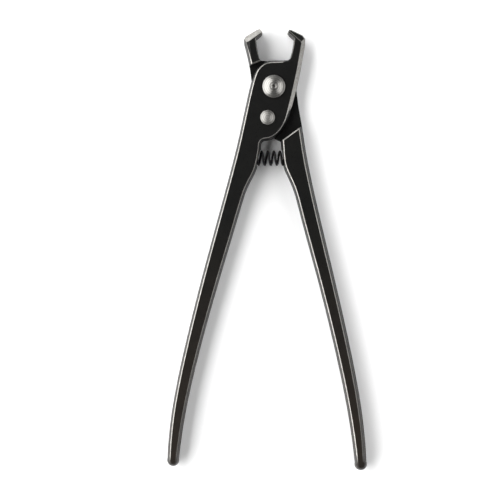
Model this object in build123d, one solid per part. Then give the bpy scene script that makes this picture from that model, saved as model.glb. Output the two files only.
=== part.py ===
"""Riveted lap-joint fencing pliers with a return spring.

The pliers lie flat. The origin is on the pivot axis, at the flat back. +Y runs from the pivot
towards the jaws, +X is to the right seen from the front, and +Z points out of the front face.
Millimetres.
"""
from build123d import *
import math
import os

# Forging section, the same for both halves
THICKNESS = 12.0
MIDDLE = THICKNESS / 2
PARTING_BAND = 0.3  # half the height of the upright band round the middle
LAP_GAP = 0.1  # between the two lap plates
# How far below the flat face each line of the section lies, from the parting band to the face
SECTION_DEPTHS = (MIDDLE - PARTING_BAND, MIDDLE - 2 * PARTING_BAND, 2.0, 0.55, 0.0)
# How far in from the parting line each of them lies, by the kind of edge. The first step is the
# trimmed flash line.
SECTION_INSETS = {
    "round": (0, 0.2, 0.65, 1.2, 1.75),  # drafted side, rolled over into a 45 degree chamfer
    "outer": (0, 0.3, 1.0, 1.7, 2.25),  # the same, with more draft
    "bevel": (0, 0.15, 0.2, 1.65, 2.2),  # upright side and a wide 45 degree bevel
    "inner": (0, 0.1, 0.15, 0.3, 0.45),  # the inside of a jaw, with its edge barely broken
    "nose": (0, 0.2, 0.5, 0.7, 0.9),  # the outside of a nose, which its slope cuts
    "lip": (0, 0.2, 0.45, 0.65, 1.0),  # the inside of a nose, with a steep chamfer
    "tip": (0, 0.1, 0.15, 0.3, 0.5),  # the blunt end of a nose
    "end": (0, 0.2, 0.65, 1.4, 1.95),  # the end of a handle, rolled over a little further
}

# Joint
PIVOT_SHANK_R = 4.5
PIVOT_RUNNING_GAP = 0.06
PIVOT_HEAD_R = 6.5
PIVOT_HEAD_HEIGHT = 3.6
PIVOT_SINK_R = 6.6  # countersunk end of the rivet, flush with the back
PIVOT_SINK_DEPTH = 2.0
HEAD_RIM_SHARE = 1 / 6  # of a head's height is upright, and the rest is domed
DIMPLE_R = 0.65
DIMPLE_POINT_R = 0.2
DIMPLE_DEPTH = 1.0
DIMPLE_RING_R = 1.35  # a raised ring around the dimple
DIMPLE_RING_WIRE_R = 0.4
DIMPLE_RING_SINK = 0.15
DIMPLE_GROOVE_R = 2.1  # a turned groove around the ring
DIMPLE_GROOVE_WIRE_R = 0.3
STOP_SHANK_R = 2.0
STOP_HEAD_R = 4.15
STOP_HEAD_HEIGHT = 2.2
STOP_CENTRE = (-3.5, -17.6)
STOP_LIFT = 0.6  # the stop rivet ends this far above the back
STOP_SLOT_GAP = 0.3
CLOSING_ANGLE = 14.0
HEAD_GAP = 0.05  # under the pivot rivet's head, which turns on the front plate

# Return spring
SPRING_Y = -40.6
SPRING_R = 3.8  # to the middle of the wire
WIRE_R = 0.65
SPRING_PITCH = 3.45
SPRING_LEFT = -13.5
SPRING_RIGHT = 10.0
SPRING_BORE_R = 4.6
SPRING_BORE_LENGTH = 9.0
SPRING_END_GAP = 0.1

# Jaws
FRONT_NOSE_ANGLE = 34
REAR_NOSE_ANGLE = 45
REAR_ARM_ANGLE = 16
BEVEL_REACH = 8.0  # how far each slope runs out past the jaw
RING_GROOVE_R = 1.4
RING_GROOVE_DEPTH = 0.7
RING_GROOVE_OVERRUN = 3.0  # past each end of the tip
STEP_CHAMFER = 0.7
STEP_CHAMFER_ANGLE = 45

# The blunt tips of the noses, at the parting line
FRONT_TIP = [(9.4, 32.8), (8.1, 31.6), (7.9, 29.6)]
REAR_TIP = [(-6.5, 29.2), (-6.7, 31.6), (-8.4, 33.2)]

# Outlines at the parting line, anticlockwise. Each run is a list of points and the kind of edge
# it has: two points are a line, three an arc, and more a smooth curve.
FRONT_OUTLINE = [
    ([(-54.0, -212.0), (-49.0, -179.6), (-40.9, -145.4), (-29.3, -104.3), (-19.1, -70.1),
      (-14.2, -56.0), (-10.4, -48.5), (-8.2, -41.0), (-7.1, -32.8)], "round"),
    ([(-7.1, -32.8), (-6.4, -31.4), (-5.0, -30.8)], "round"),
    ([(-5.0, -30.8), (-2.5, -30.4), (0.8, -28.9), (5.7, -23.8), (8.9, -17.0)], "round"),
    ([(8.9, -17.0), (12.4, -4.0), (14.7, 6.3), (16.6, 16.5), (17.9, 24.0)], "bevel"),
    ([(17.9, 24.0), (17.9, 27.4)], "bevel"),
    ([(17.9, 27.4), (16.5, 29.3)], "nose"),
    ([(16.5, 29.3), (9.4, 32.8)], "nose"),
    (FRONT_TIP, "tip"),
    ([(7.9, 29.6), (11.4, 26.3)], "lip"),
    ([(11.4, 26.3), (10.7, 21.4), (9.6, 17.0)], "inner"),
    ([(9.6, 17.0), (8.9, 15.7), (7.5, 15.2)], "inner"),
    ([(7.5, 15.2), (1.0, 15.1), (-4.0, 14.6), (-9.0, 11.4), (-12.1, 5.0), (-14.2, -3.0),
      (-19.6, -27.9), (-26.8, -56.4), (-39.8, -104.3), (-51.6, -152.2), (-58.2, -186.4),
      (-60.5, -211.5)], "round"),
    ([(-60.5, -211.5), (-57.3, -216.0), (-54.0, -212.0)], "end"),
]
REAR_OUTLINE = [
    ([(52.8, -213.4), (50.4, -186.4), (44.3, -152.2), (33.5, -104.3), (22.2, -56.4),
      (18.0, -34.8), (15.9, -21.1), (13.4, -6.0), (12.2, 3.0), (9.4, 9.6), (4.6, 13.6),
      (-1.0, 14.6), (-6.2, 14.9)], "outer"),
    ([(-6.2, 14.9), (-7.6, 15.4), (-8.3, 16.7)], "inner"),
    ([(-8.3, 16.7), (-9.3, 21.4), (-9.9, 26.4)], "inner"),
    ([(-9.9, 26.4), (-6.5, 29.2)], "lip"),
    (REAR_TIP, "tip"),
    ([(-8.4, 33.2), (-15.9, 28.7)], "nose"),
    ([(-15.9, 28.7), (-17.1, 26.9)], "nose"),
    ([(-17.1, 26.9), (-16.8, 23.9)], "round"),
    ([(-16.8, 23.9), (-15.4, 18.8), (-13.3, 8.6), (-12.0, -2.0), (-8.6, -16.0), (-5.4, -23.6),
      (-0.8, -28.7), (4.0, -31.2)], "round"),
    ([(4.0, -31.2), (4.5, -38.5), (5.6, -45.5), (7.4, -50.1), (10.3, -56.4), (14.4, -70.1),
      (23.6, -104.3), (33.9, -145.4), (41.2, -179.6), (46.2, -214.0)], "round"),
    ([(46.2, -214.0), (50.0, -218.3), (52.8, -213.4)], "end"),
]

# Each half drops from full thickness to its lap plate at two steps: the first crosses the jaw
# from its outer side to its inner side, and the second crosses the handle the same way.
FRONT_STEPS = [((14.3, 11.4), (7.1, 14.6)), ((-15.1, -23.1), (-5.7, -30.4))]
REAR_STEPS = [((-13.9, 11.9), (-6.6, 14.8)), ((14.3, -23.6), (4.7, -30.6))]

# Points well outside each jaw, which its slopes fall towards
FRONT_OUTER = (30, 45)
REAR_OUTER = (-30, 45)

# Upper edges of the slopes on the outside of each jaw, on the flat face
FRONT_NOSE_RIDGE = ((8.2, 31.9), (12.6, 28.0))
REAR_NOSE_RIDGE = ((-7.3, 30.6), (-15.3, 24.9))
REAR_ARM_RIDGE = ((-13.8, 24.0), (-12.3, 13.0))

# How far the lap recesses run past the ends of their steps, to clear the whole lap plate
RECESS_OUTSIDE = 9.0
RECESS_INSIDE = 28.0

SMOOTH_COSINE = 0.95  # runs that meet at a flatter corner than this are treated as one
CUT_CLEARANCE = 1.0


def edge_through(points):
    """A line through two points, an arc through three, or a smooth curve through more."""
    if len(points) == 2:
        return Line(*points)
    if len(points) == 3:
        return ThreePointArc(*points)
    return Spline(*points)


def inward(edge, point):
    """The unit normal that points into an anticlockwise outline at one of its points."""
    tangent = edge.tangent_at(edge.param_at_point(Vector(*point)))
    return Vector(-tangent.Y, tangent.X)


def corner_move(normal_in, inset_in, normal_out, inset_out):
    """How far a corner moves when the runs on its two sides move in by their own insets."""
    cosine = normal_in.dot(normal_out)
    if cosine > SMOOTH_COSINE:
        return (normal_in + normal_out).normalized() * ((inset_in + inset_out) / 2)
    spread = 1 - cosine**2
    along_in = (inset_in - cosine * inset_out) / spread
    along_out = (inset_out - cosine * inset_in) / spread
    return normal_in * along_in + normal_out * along_out


def inset_wire(outline, level, z):
    """The outline moved in by each run's own inset at one line of the section, at the height z."""
    edges = [edge_through(points) for points, _ in outline]
    insets = [SECTION_INSETS[kind][level] for _, kind in outline]
    runs = []
    for i, (points, _) in enumerate(outline):
        before, after = i - 1, (i + 1) % len(outline)
        moves = [inward(edges[i], p) * insets[i] for p in points]
        moves[0] = corner_move(
            inward(edges[before], points[0]), insets[before],
            inward(edges[i], points[0]), insets[i])
        moves[-1] = corner_move(
            inward(edges[i], points[-1]), insets[i],
            inward(edges[after], points[-1]), insets[after])
        runs.append([Vector(*p) + move + Vector(0, 0, z) for p, move in zip(points, moves)])
    return Wire([edge_through(points) for points in runs])


def forging(outline):
    """A full-thickness blank, the same on both sides of the parting line."""
    back = [(level, depth) for level, depth in enumerate(SECTION_DEPTHS)][::-1]
    front = [(level, THICKNESS - depth) for level, depth in enumerate(SECTION_DEPTHS)]
    return Solid.make_loft([inset_wire(outline, *line) for line in back + front], ruled=True)


def stretched(start, end, before, after):
    """The line from start to end, carried on past each of them."""
    start, end = Vector(*start), Vector(*end)
    along = (end - start).normalized()
    return start - along * before, end + along * after


def slope_cutter(line, toward, angle, reach, drop_start=0.0):
    """What a slope takes off the front face, falling from a line on it towards a point."""
    start, end = stretched(*line, reach, reach)
    run = (end - start).normalized()
    outward = Vector(run.Y, -run.X)
    if outward.dot(Vector(*toward) - start) < 0:
        outward = -outward
    top = start + Vector(0, 0, THICKNESS) - outward * drop_start
    foot = top + outward * reach - Vector(0, 0, reach * math.tan(math.radians(angle)))
    above = top + outward * reach + Vector(0, 0, CUT_CLEARANCE)
    profile = Face(Wire.make_polygon([top, foot, above], close=True))
    return Solid.extrude(profile, end - start)


def both_faces(cutter):
    """The cutter on the front face and its mirror image on the back face."""
    return [cutter, cutter.mirror(Plane.XY.offset(MIDDLE))]


def jaw_slopes(ridge, angle, toward):
    """The slope on the outside of a jaw, on both faces."""
    return both_faces(slope_cutter(ridge, toward, angle, BEVEL_REACH))


def front_lap_recess(steps):
    """The room in front of a lap plate, with chamfered top edges at its two steps."""
    jaw_line, handle_line = steps
    corners = [*stretched(*jaw_line, RECESS_OUTSIDE, RECESS_INSIDE),
               *stretched(*handle_line, RECESS_OUTSIDE, RECESS_OUTSIDE)]
    floor = MIDDLE - LAP_GAP / 2
    block = Face(Wire.make_polygon([c + Vector(0, 0, floor) for c in corners], close=True))
    reach = STEP_CHAMFER * 2
    chamfers = [slope_cutter(line, (0, 0), STEP_CHAMFER_ANGLE, reach, STEP_CHAMFER)
                for line in steps]
    return [Solid.extrude(block, Vector(0, 0, THICKNESS)), *chamfers]


def cylinder(radius, start, end):
    """A round bar between two points."""
    start, end = Vector(*start), Vector(*end)
    return Solid.make_cylinder(radius, (end - start).length, Plane(start, z_dir=end - start))


def ring_groove(tip):
    """The groove along a nose's blunt tip, at the parting line, that holds a wire ring."""
    start, end = stretched(tip[0], tip[-1], RING_GROOVE_OVERRUN, RING_GROOVE_OVERRUN)
    run = (end - start).normalized()
    out = Vector(run.Y, -run.X) * (RING_GROOVE_R - RING_GROOVE_DEPTH) + Vector(0, 0, MIDDLE)
    return cylinder(RING_GROOVE_R, start + out, end + out)


def spring_bore(bottom_x, mouth_x):
    """A blind hole for one end of the return spring."""
    return cylinder(SPRING_BORE_R, (bottom_x, SPRING_Y, MIDDLE), (mouth_x, SPRING_Y, MIDDLE))


def front_half():
    """Left handle, front lap plate and right jaw."""
    half = forging(FRONT_OUTLINE)
    recess = [c.mirror(Plane.XY.offset(MIDDLE)) for c in front_lap_recess(FRONT_STEPS)]
    pivot_hole = cylinder(PIVOT_SHANK_R + PIVOT_RUNNING_GAP, (0, 0, 0), (0, 0, THICKNESS))
    stop_hole = cylinder(STOP_SHANK_R, (*STOP_CENTRE, 0), (*STOP_CENTRE, THICKNESS))
    bore = spring_bore(SPRING_LEFT - SPRING_END_GAP, SPRING_LEFT + SPRING_BORE_LENGTH)
    slopes = jaw_slopes(FRONT_NOSE_RIDGE, FRONT_NOSE_ANGLE, FRONT_OUTER)
    return half - [*recess, pivot_hole, stop_hole, bore, *slopes, ring_groove(FRONT_TIP)]


def stop_slot():
    """The slot in the rear lap plate that the stop rivet runs along as the jaws close."""
    radius = math.hypot(*STOP_CENTRE)
    open_angle = math.degrees(math.atan2(STOP_CENTRE[1], STOP_CENTRE[0]))
    path = CenterArc((0, 0), radius, open_angle, CLOSING_ANGLE)
    slot = SlotArc(path, 2 * (STOP_SHANK_R + STOP_SLOT_GAP))
    return extrude(slot, MIDDLE)


def pivot_sink():
    """The countersink at the back that the pivot rivet's tail is formed into."""
    return Solid.make_cone(PIVOT_SINK_R, PIVOT_SHANK_R, PIVOT_SINK_DEPTH)


def rear_half():
    """Right handle, rear lap plate and left jaw."""
    half = forging(REAR_OUTLINE)
    pivot_hole = cylinder(PIVOT_SHANK_R, (0, 0, 0), (0, 0, THICKNESS))
    bore = spring_bore(SPRING_RIGHT + SPRING_END_GAP, SPRING_RIGHT - SPRING_BORE_LENGTH)
    slopes = [*jaw_slopes(REAR_NOSE_RIDGE, REAR_NOSE_ANGLE, REAR_OUTER),
              *jaw_slopes(REAR_ARM_RIDGE, REAR_ARM_ANGLE, REAR_OUTER)]
    cutters = [*front_lap_recess(REAR_STEPS), pivot_hole, pivot_sink(), stop_slot(), bore]
    return half - [*cutters, *slopes, ring_groove(REAR_TIP)]


def dome_radius(head_r, dome_height):
    """The radius of the sphere that a domed head is part of."""
    return (head_r**2 + dome_height**2) / (2 * dome_height)


def rivet(shank_r, bottom, seat, head_r, head_height):
    """A rivet on the Z axis with a domed head on its seat."""
    top = seat + head_height
    rim = seat + head_height * HEAD_RIM_SHARE
    sphere_r = dome_radius(head_r, top - rim)
    half_way = math.asin(head_r / sphere_r) / 2
    middle = (sphere_r * math.sin(half_way), 0, top - sphere_r * (1 - math.cos(half_way)))
    profile = [
        Line((0, 0, bottom), (shank_r, 0, bottom)),
        Line((shank_r, 0, bottom), (shank_r, 0, seat)),
        Line((shank_r, 0, seat), (head_r, 0, seat)),
        Line((head_r, 0, seat), (head_r, 0, rim)),
        ThreePointArc((head_r, 0, rim), middle, (0, 0, top)),
        Line((0, 0, top), (0, 0, bottom)),
    ]
    return revolve(Face(Wire(profile)), Axis.Z)


def pivot_rivet():
    """The rivet both halves turn on: domed in front, formed flush at the back."""
    seat = THICKNESS + HEAD_GAP
    top = seat + PIVOT_HEAD_HEIGHT
    body = rivet(PIVOT_SHANK_R, 0, seat, PIVOT_HEAD_R, PIVOT_HEAD_HEIGHT) + pivot_sink()
    sphere_r = dome_radius(PIVOT_HEAD_R, PIVOT_HEAD_HEIGHT * (1 - HEAD_RIM_SHARE))
    groove_drop = sphere_r - math.sqrt(sphere_r**2 - DIMPLE_GROOVE_R**2)
    ring = Pos(0, 0, top - DIMPLE_RING_SINK) * Torus(DIMPLE_RING_R, DIMPLE_RING_WIRE_R)
    groove = Pos(0, 0, top - groove_drop) * Torus(DIMPLE_GROOVE_R, DIMPLE_GROOVE_WIRE_R)
    dimple = Pos(0, 0, top - DIMPLE_DEPTH / 2) * Cone(DIMPLE_POINT_R, DIMPLE_R, DIMPLE_DEPTH)
    return body - groove + ring - dimple


def stop_rivet():
    """The rivet fixed in the front half that limits how far the pliers open."""
    shape = rivet(STOP_SHANK_R, STOP_LIFT, THICKNESS, STOP_HEAD_R, STOP_HEAD_HEIGHT)
    return Pos(*STOP_CENTRE) * shape


def return_spring():
    """The coil spring that opens the handles, lying along X between its two bores."""
    start = (SPRING_LEFT + WIRE_R, SPRING_Y, MIDDLE)
    length = SPRING_RIGHT - SPRING_LEFT - 2 * WIRE_R
    coil = Helix(SPRING_PITCH, length, SPRING_R, center=start, direction=(1, 0, 0))
    section = Plane(coil @ 0, z_dir=coil % 0) * Circle(WIRE_R)
    return sweep(section, path=coil, is_frenet=True)


NODES = {
    "front_half": front_half,
    "rear_half": rear_half,
    "pivot_rivet": pivot_rivet,
    "stop_rivet": stop_rivet,
    "return_spring": return_spring,
}

os.makedirs("parts", exist_ok=True)
for name, build in NODES.items():
    export_step(build(), f"parts/{name}.step")
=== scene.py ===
"""Fencing pliers lying flat on a white table, seen from straight above."""

import math

import bpy
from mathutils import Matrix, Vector


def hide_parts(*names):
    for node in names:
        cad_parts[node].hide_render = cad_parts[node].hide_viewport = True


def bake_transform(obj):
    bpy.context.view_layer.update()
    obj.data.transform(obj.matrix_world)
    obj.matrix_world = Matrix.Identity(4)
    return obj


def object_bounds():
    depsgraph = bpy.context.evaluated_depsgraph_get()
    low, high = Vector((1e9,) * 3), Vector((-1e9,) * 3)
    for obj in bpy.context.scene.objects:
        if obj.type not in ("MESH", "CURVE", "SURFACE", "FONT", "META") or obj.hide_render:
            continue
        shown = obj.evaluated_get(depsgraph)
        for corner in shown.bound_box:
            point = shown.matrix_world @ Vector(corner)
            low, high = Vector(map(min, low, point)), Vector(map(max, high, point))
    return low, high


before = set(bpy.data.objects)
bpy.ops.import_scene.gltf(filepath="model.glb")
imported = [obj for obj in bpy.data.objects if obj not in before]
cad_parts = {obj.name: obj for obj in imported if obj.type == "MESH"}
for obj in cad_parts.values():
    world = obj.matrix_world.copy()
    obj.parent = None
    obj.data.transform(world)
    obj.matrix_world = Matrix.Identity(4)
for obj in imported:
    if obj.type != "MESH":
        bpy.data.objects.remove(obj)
cad_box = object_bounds()

MM = 0.001

# Camera, straight above the middle of the pliers
VIEW_CENTRE = Vector((-13.5, -92.9, 6.0)) * MM
VIEW_WIDTH = 285 * MM
CAMERA_HEIGHT = 1400 * MM
SENSOR = 36  # mm

# The room glows a little near the table, and is dark above this height on the unit sphere
ROOM_DARK_FROM = 0.7
ROOM_LOW_GLOW = 0.34
ROOM_HIGH_GLOW = 0.04

# Panel lamps: degrees round from +X, degrees up, width and height in metres, and radiance
LEFT_PANEL = (171, 33, (2.8, 1.2), 4.4)
RIGHT_PANEL = (-4, 38, (1.5, 0.6), 3.1)
JAW_PANEL = (90, 16, (1.6, 0.5), 3.2)
PANEL_DISTANCE = 1.0
PANEL_TARGET = Vector((0, -60, 0)) * MM

TABLE_HALF = 3.0
TABLE_DROP = 0.2 * MM  # below the pliers, so that the two never share a plane

# Noise: cells per metre, and detail
MOTTLE = (160, 5)
WEAR_PATCHES = (900, 3)
FORGED_GRAIN = (2200, 4)
TURNED_GRAIN = (1500, 5)
WIRE_GRAIN = (2500, 3)

# Colours. A pair holds the two tones that noise mixes
BLACK_FINISH = ((0.0045, 0.0045, 0.0045), (0.008, 0.008, 0.0075))
BROWN_FINISH = ((0.011, 0.0098, 0.0086), (0.021, 0.0165, 0.013))
BARE_STEEL = ((0.31, 0.30, 0.28), (0.42, 0.41, 0.39))
TURNED_STEEL = ((0.26, 0.255, 0.24), (0.33, 0.325, 0.31))
TURNED_GROOVE = ((0.165, 0.16, 0.15), (0.235, 0.23, 0.22))
WIRE_BLACK = (0.006, 0.006, 0.006, 1)
TABLE_WHITE = (0.92, 0.92, 0.92, 1)

# Roughness: this range of the grain's noise is carried to one of the ranges below it
GRAIN_RANGE = (0.3, 0.7)
FORGED_ROUGHNESS = (0.26, 0.38)
PIVOT_ROUGHNESS = (0.30, 0.44)
STOP_ROUGHNESS = (0.46, 0.60)
WIRE_ROUGHNESS = (0.3, 0.45)

# Roughness of the table, which has no grain, and specular levels
TABLE_ROUGHNESS = 0.9
FORGED_SPECULAR = 0.14
DULL_SPECULAR = 0.1

# Relief of the forged grain
GRAIN_DEPTH = 0.05 * MM
GRAIN_STRENGTH = 0.2

# Ground edges of the forging: the height of a 45 degree face's normal, and how far it may differ
BEVEL_NORMAL_Z = 0.707
BEVEL_NORMAL_SPREAD = 0.05
RIGHT_FACING_X = BEVEL_NORMAL_Z / 2  # from here on a normal counts as turned to the right
RIGHT_EDGE_PAINTED_SHADE = 0.7  # painted shade: how far the ground edges on the right are dimmed, at the handle ends

# Worn edges: how wide they are, and the dot product of the rounded and flat normals that counts
WORN_WIDTH = 0.5 * MM
EDGE_ROUNDING = 0.25 * MM
BEVEL_SAMPLES = 6
SCUFF_ROUGHNESS = 0.45
WORN_LIKENESS = 0.975
FLAT_LIKENESS = 0.995

# How bare the steel is in its patches: a range of noise, and the bareness it is carried to
PATCH_RANGE = (0.25, 0.6)
PATCH_BARENESS = (0.6, 1.0)

# Where the finish changes along the pliers
HANDLE_BLACK_Y = -70 * MM
HANDLE_BROWN_Y = -200 * MM
END_BARE_Y = -209 * MM
END_BLACK_Y = -214 * MM
NOSE_START_Y = 15 * MM
NOSE_END_Y = 30 * MM
NOSE_BRIGHTNESS = 0.75
FLASH_Z = 7.0 * MM
ABOVE_FLASH_Z = 8.0 * MM

# Rivets
PIVOT_CENTRE = (0, 0)
STOP_CENTRE = (-3.5 * MM, -17.6 * MM)
TURNED_RINGS_SCALE = 280
TURNED_DISTORTION = 0.6
TURNED_DEPTH = 0.018 * MM

# Return spring: closed end turns in the two bores, and open turns between them
SPRING_AXIS = Vector((0, -40.6, 6.0)) * MM
SPRING_LEFT = -13.5 * MM
SPRING_RIGHT = 10.0 * MM
SPRING_R = 3.8 * MM
WIRE_R = 0.65 * MM
OPEN_PITCH = 3.45 * MM
CLOSED_PITCH = 1.4 * MM
CLOSED_TURNS = 1.0
FIRST_TURN_ANGLE = math.radians(-122)
STEPS_PER_TURN = 36
WIRE_SIDES = 12


# Node helpers


def new_material(name):
    """A material with its node tree, its shader and its output, and nothing else."""
    material = bpy.data.materials.new(name)
    material.use_nodes = True
    return material, material.node_tree, material.node_tree.nodes["Principled BSDF"]


def add_node(tree, kind, **sockets):
    """A node with some of its inputs set."""
    node = tree.nodes.new(kind)
    for name, value in sockets.items():
        node.inputs[name.replace("_", " ")].default_value = value
    return node


def object_noise(tree, scale, detail):
    """Noise fixed to the object, with so many cells per metre."""
    coords = tree.nodes.new("ShaderNodeTexCoord")
    noise = add_node(tree, "ShaderNodeTexNoise", Scale=scale, Detail=detail)
    tree.links.new(coords.outputs["Object"], noise.inputs["Vector"])
    return noise.outputs["Fac"]


def remap(tree, value, low, high, to_low, to_high):
    """The value carried from one range to another, which may run either way, and held in it."""
    node = tree.nodes.new("ShaderNodeMapRange")
    node.inputs["From Min"].default_value = low
    node.inputs["From Max"].default_value = high
    node.inputs["To Min"].default_value = to_low
    node.inputs["To Max"].default_value = to_high
    tree.links.new(value, node.inputs["Value"])
    return node.outputs["Result"]


def mix_colours(tree, factor, first, second):
    """The first colour where the factor is 0, and the second where it is 1."""
    node = tree.nodes.new("ShaderNodeMix")
    node.data_type = "RGBA"
    node.inputs["A"].default_value = (*first, 1)
    node.inputs["B"].default_value = (*second, 1)
    tree.links.new(factor, node.inputs["Factor"])
    return node.outputs["Result"]


def blend_colours(tree, factor, first, second):
    """The same, for colours that come from other nodes."""
    node = tree.nodes.new("ShaderNodeMix")
    node.data_type = "RGBA"
    tree.links.new(factor, node.inputs["Factor"])
    tree.links.new(first, node.inputs["A"])
    tree.links.new(second, node.inputs["B"])
    return node.outputs["Result"]


def rounded_normal(tree, radius):
    """The surface's normal, turning smoothly across its edges."""
    rounded = tree.nodes.new("ShaderNodeBevel")
    rounded.samples = BEVEL_SAMPLES
    rounded.inputs["Radius"].default_value = radius
    return rounded.outputs["Normal"]


def add_bump(tree, shader, height, distance, strength=1.0, normal=None):
    """Relief on the shader's surface."""
    bump = add_node(tree, "ShaderNodeBump", Strength=strength, Distance=distance)
    tree.links.new(height, bump.inputs["Height"])
    if normal:
        tree.links.new(normal, bump.inputs["Normal"])
    tree.links.new(bump.outputs["Normal"], shader.inputs["Normal"])


def math_node(tree, operation, *values):
    """The result of a sum on values that are numbers or the outputs of other nodes."""
    node = tree.nodes.new("ShaderNodeMath")
    node.operation = operation
    for socket, value in zip(node.inputs, values):
        if isinstance(value, (int, float)):
            socket.default_value = value
        else:
            tree.links.new(value, socket)
    return node.outputs["Value"]


# Materials


def ground_edges(tree, handle):
    """1 on the 45 degree edges of the forging, which are ground bright, and 0 elsewhere.

    Down the handles the edges on the right-hand sides are dimmed: painted shade on the side
    turned from the main lamp. The normals are read in world space, so this holds while the
    pliers lie flat, and not if they are tilted.
    """
    geometry = tree.nodes.new("ShaderNodeNewGeometry")
    split = tree.nodes.new("ShaderNodeSeparateXYZ")
    tree.links.new(geometry.outputs["True Normal"], split.inputs["Vector"])
    upright = math_node(tree, "ABSOLUTE", split.outputs["Z"])
    ground = math_node(tree, "COMPARE", upright, BEVEL_NORMAL_Z, BEVEL_NORMAL_SPREAD)
    # painted shade: ground edges turned to the right, away from the main lamp, are dimmed down the
    # handles
    right_painted_shade = remap(tree, split.outputs["X"], 0, RIGHT_FACING_X, 0, RIGHT_EDGE_PAINTED_SHADE)
    unshaded = math_node(tree, "SUBTRACT", 1, math_node(tree, "MULTIPLY", right_painted_shade, handle))
    return math_node(tree, "MULTIPLY", ground, unshaded)


def worn_edges(tree, width):
    """Near 1 along the sharp edges of the object, and 0 on its open faces."""
    geometry = tree.nodes.new("ShaderNodeNewGeometry")
    likeness = tree.nodes.new("ShaderNodeVectorMath")
    likeness.operation = "DOT_PRODUCT"
    tree.links.new(rounded_normal(tree, width), likeness.inputs[0])
    tree.links.new(geometry.outputs["True Normal"], likeness.inputs[1])
    return remap(tree, likeness.outputs["Value"], WORN_LIKENESS, FLAT_LIKENESS, 1, 0)


def along_object(tree, axis, start, end):
    """0 up to one place along an axis of the object, and 1 from another."""
    coords = tree.nodes.new("ShaderNodeTexCoord")
    split = tree.nodes.new("ShaderNodeSeparateXYZ")
    tree.links.new(coords.outputs["Object"], split.inputs["Vector"])
    return remap(tree, split.outputs[axis], start, end, 0, 1)


def black_forging():
    """Black finish on forged steel, browner down the handles, with ground and worn edges; the ground
    edges on the right down the handles are dimmed as painted shade.
    """
    material, tree, shader = new_material("black_forging")
    mottle = object_noise(tree, *MOTTLE)
    black = mix_colours(tree, mottle, *BLACK_FINISH)
    brown = mix_colours(tree, mottle, *BROWN_FINISH)
    handle = along_object(tree, "Y", HANDLE_BLACK_Y, HANDLE_BROWN_Y)
    finish = blend_colours(tree, handle, black, brown)
    nose = along_object(tree, "Y", NOSE_START_Y, NOSE_END_Y)
    worn = math_node(tree, "MULTIPLY", worn_edges(tree, WORN_WIDTH), nose)
    above_flash = along_object(tree, "Z", FLASH_Z, ABOVE_FLASH_Z)
    # ground edges, dimmed on the right down the handles as painted shade
    ground = math_node(tree, "MULTIPLY", ground_edges(tree, handle), above_flash)
    ground = math_node(tree, "MULTIPLY", ground, remap(tree, nose, 0, 1, 1, NOSE_BRIGHTNESS))
    ground = math_node(tree, "MULTIPLY", ground, along_object(tree, "Y", END_BLACK_Y, END_BARE_Y))
    bare = math_node(tree, "MAXIMUM", ground, worn)
    patches = remap(tree, object_noise(tree, *WEAR_PATCHES), *PATCH_RANGE, *PATCH_BARENESS)
    bare = math_node(tree, "MULTIPLY", bare, patches)
    steel = mix_colours(tree, mottle, *BARE_STEEL)
    colour = blend_colours(tree, bare, finish, steel)
    tree.links.new(colour, shader.inputs["Base Color"])
    tree.links.new(bare, shader.inputs["Metallic"])
    grain = object_noise(tree, *FORGED_GRAIN)
    roughness = remap(tree, grain, *GRAIN_RANGE, *FORGED_ROUGHNESS)
    scuffing = math_node(tree, "MULTIPLY", worn, SCUFF_ROUGHNESS)
    tree.links.new(math_node(tree, "ADD", roughness, scuffing), shader.inputs["Roughness"])
    shader.inputs["Specular IOR Level"].default_value = FORGED_SPECULAR
    add_bump(tree, shader, grain, GRAIN_DEPTH, GRAIN_STRENGTH, rounded_normal(tree, EDGE_ROUNDING))
    return material


def turned_steel(name, centre, roughness):
    """Steel turned about an upright axis, with fine rings cut round it."""
    material, tree, shader = new_material(name)
    coords = tree.nodes.new("ShaderNodeTexCoord")
    centred = tree.nodes.new("ShaderNodeMapping")
    centred.inputs["Location"].default_value = (-centre[0], -centre[1], 0)
    rings = add_node(tree, "ShaderNodeTexWave", Scale=TURNED_RINGS_SCALE, Distortion=TURNED_DISTORTION)
    rings.wave_type = "RINGS"
    rings.rings_direction = "Z"
    tree.links.new(coords.outputs["Object"], centred.inputs["Vector"])
    tree.links.new(centred.outputs["Vector"], rings.inputs["Vector"])
    grain = object_noise(tree, *TURNED_GRAIN)
    tone = mix_colours(tree, grain, *TURNED_STEEL)
    groove = mix_colours(tree, grain, *TURNED_GROOVE)
    tree.links.new(blend_colours(tree, rings.outputs["Fac"], groove, tone),
                   shader.inputs["Base Color"])
    shader.inputs["Metallic"].default_value = 1.0
    tree.links.new(remap(tree, grain, *GRAIN_RANGE, *roughness), shader.inputs["Roughness"])
    add_bump(tree, shader, rings.outputs["Fac"], TURNED_DEPTH)
    return material


def black_wire():
    """Black-finished spring wire."""
    material, tree, shader = new_material("black_wire")
    shader.inputs["Base Color"].default_value = WIRE_BLACK
    shader.inputs["Specular IOR Level"].default_value = DULL_SPECULAR
    grain = object_noise(tree, *WIRE_GRAIN)
    tree.links.new(remap(tree, grain, *GRAIN_RANGE, *WIRE_ROUGHNESS), shader.inputs["Roughness"])
    return material


def table_top():
    """Matt white table."""
    material, tree, shader = new_material("table_top")
    shader.inputs["Base Color"].default_value = TABLE_WHITE
    shader.inputs["Roughness"].default_value = TABLE_ROUGHNESS
    shader.inputs["Specular IOR Level"].default_value = DULL_SPECULAR
    return material


def dress(node, material):
    """Gives a CAD node one material in every slot."""
    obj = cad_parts[node]
    if not obj.material_slots:
        obj.data.materials.append(material)
    for slot in obj.material_slots:
        slot.material = material


# Return spring


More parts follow.
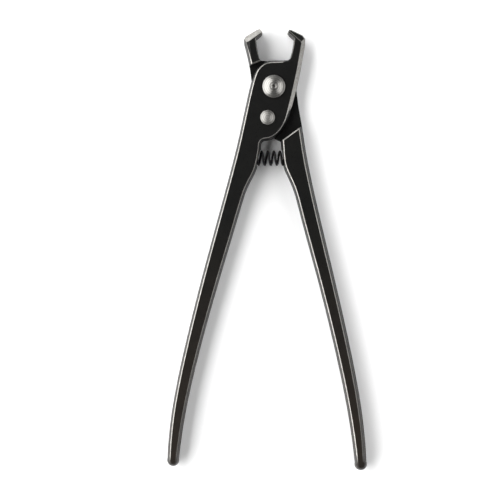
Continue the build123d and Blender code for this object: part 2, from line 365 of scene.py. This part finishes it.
def spring_line():
    """Points along the middle of the wire, from the left end of the spring to the right."""
    left, right = SPRING_LEFT + WIRE_R, SPRING_RIGHT - WIRE_R
    closed = CLOSED_PITCH * CLOSED_TURNS
    open_turns = (right - left - 2 * closed) / OPEN_PITCH
    turns = open_turns + 2 * CLOSED_TURNS
    steps = round(turns * STEPS_PER_TURN)
    points = []
    for step in range(steps + 1):
        turn = turns * step / steps
        open_part = min(max(turn - CLOSED_TURNS, 0), open_turns)
        x = left + open_part * OPEN_PITCH + (turn - open_part) * CLOSED_PITCH
        angle = FIRST_TURN_ANGLE + turn * math.tau
        around = Vector((0, math.cos(angle), math.sin(angle))) * SPRING_R
        points.append(SPRING_AXIS + Vector((x, 0, 0)) + around)
    return points


def wire_mesh(name, line, radius, sides):
    """A round wire that follows a line of points, closed at both ends."""
    vertices, faces = [], []
    for i, point in enumerate(line):
        along = (line[min(i + 1, len(line) - 1)] - line[max(i - 1, 0)]).normalized()
        outward = (point - SPRING_AXIS) * Vector((0, 1, 1))
        across = along.cross(outward).normalized()
        up = across.cross(along)
        for side in range(sides):
            angle = math.tau * side / sides
            vertices.append(point + (up * math.cos(angle) + across * math.sin(angle)) * radius)
    for i in range(len(line) - 1):
        for side in range(sides):
            a, b = i * sides + side, i * sides + (side + 1) % sides
            faces.append((a, b, b + sides, a + sides))
    faces.append(tuple(reversed(range(sides))))
    faces.append(tuple(range((len(line) - 1) * sides, len(line) * sides)))
    mesh = bpy.data.meshes.new(name)
    mesh.from_pydata(vertices, [], faces)
    mesh.polygons.foreach_set("use_smooth", [True] * len(mesh.polygons))
    return mesh


def add_return_spring():
    """The spring that opens the handles, built once at rest; on the pliers it shortens between the two
    halves as they close.

    Fully closed, the wire cuts up to 0.3 mm into the walls of the bores, and its closed end turns
    press 0.2 mm into each other. Both are hidden in the bores.
    """
    mesh = wire_mesh("coil_spring", spring_line(), WIRE_R, WIRE_SIDES)
    mesh.materials.append(black_wire())
    spring = bpy.data.objects.new("coil_spring", mesh)
    bpy.context.scene.collection.objects.link(spring)
    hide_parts("return_spring")
    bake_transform(spring)


# Scene


def add_table():
    """A plain pale floor under the pliers."""
    half = TABLE_HALF
    mesh = bpy.data.meshes.new("table")
    corners = [(-half, -half, 0), (half, -half, 0), (half, half, 0), (-half, half, 0)]
    mesh.from_pydata(corners, [], [(0, 1, 2, 3)])
    mesh.materials.append(table_top())
    table = bpy.data.objects.new("table", mesh)
    bpy.context.scene.collection.objects.link(table)
    table.location.z = cad_box[0][2] - TABLE_DROP


def add_panel(name, azimuth, elevation, size, radiance):
    """A soft panel lamp that faces the pliers from so many degrees round and up."""
    lamp = bpy.data.lights.new(name, "AREA")
    lamp.shape = "RECTANGLE"
    lamp.size, lamp.size_y = size
    lamp.energy = radiance * math.pi * size[0] * size[1]
    round_, up = math.radians(azimuth), math.radians(elevation)
    out = Vector((math.cos(round_) * math.cos(up), math.sin(round_) * math.cos(up), math.sin(up)))
    obj = bpy.data.objects.new(name, lamp)
    obj.location = PANEL_TARGET + out * PANEL_DISTANCE
    obj.rotation_euler = (-out).to_track_quat("-Z", "Y").to_euler()
    obj.visible_camera = False
    bpy.context.scene.collection.objects.link(obj)
    return obj


def add_lights():
    """A bright panel on the left, a weaker one on the right, a low one past the jaws, and a room.

    The one past the jaws is left out of reflections, where it would blow out the pivot rivet.
    """
    add_panel("left_panel", *LEFT_PANEL)
    add_panel("right_panel", *RIGHT_PANEL)
    jaw_panel = add_panel("jaw_panel", *JAW_PANEL)
    jaw_panel.visible_glossy = False
    world = bpy.data.worlds.new("studio")
    world.use_nodes = True
    tree = world.node_tree
    coords = tree.nodes.new("ShaderNodeTexCoord")
    split = tree.nodes.new("ShaderNodeSeparateXYZ")
    tree.links.new(coords.outputs["Generated"], split.inputs["Vector"])
    glow = remap(tree, split.outputs["Z"], 0, ROOM_DARK_FROM, ROOM_LOW_GLOW, ROOM_HIGH_GLOW)
    background = tree.nodes["Background"]
    background.inputs["Color"].default_value = (1, 1, 1, 1)
    tree.links.new(glow, background.inputs["Strength"])
    bpy.context.scene.world = world


def add_camera():
    """The camera, looking straight down."""
    camera = bpy.data.cameras.new("camera")
    camera.sensor_width = SENSOR
    camera.lens = SENSOR * (CAMERA_HEIGHT - VIEW_CENTRE.z) / VIEW_WIDTH
    obj = bpy.data.objects.new("camera", camera)
    obj.location = (VIEW_CENTRE.x, VIEW_CENTRE.y, CAMERA_HEIGHT)
    bpy.context.scene.collection.objects.link(obj)
    bpy.context.scene.camera = obj


add_camera()
add_lights()
add_table()
black = black_forging()
dress("front_half", black)
dress("rear_half", black)
dress("pivot_rivet", turned_steel("pivot_steel", PIVOT_CENTRE, PIVOT_ROUGHNESS))
dress("stop_rivet", turned_steel("stop_steel", STOP_CENTRE, STOP_ROUGHNESS))
add_return_spring()
bpy.context.scene.view_settings.view_transform = "Standard"
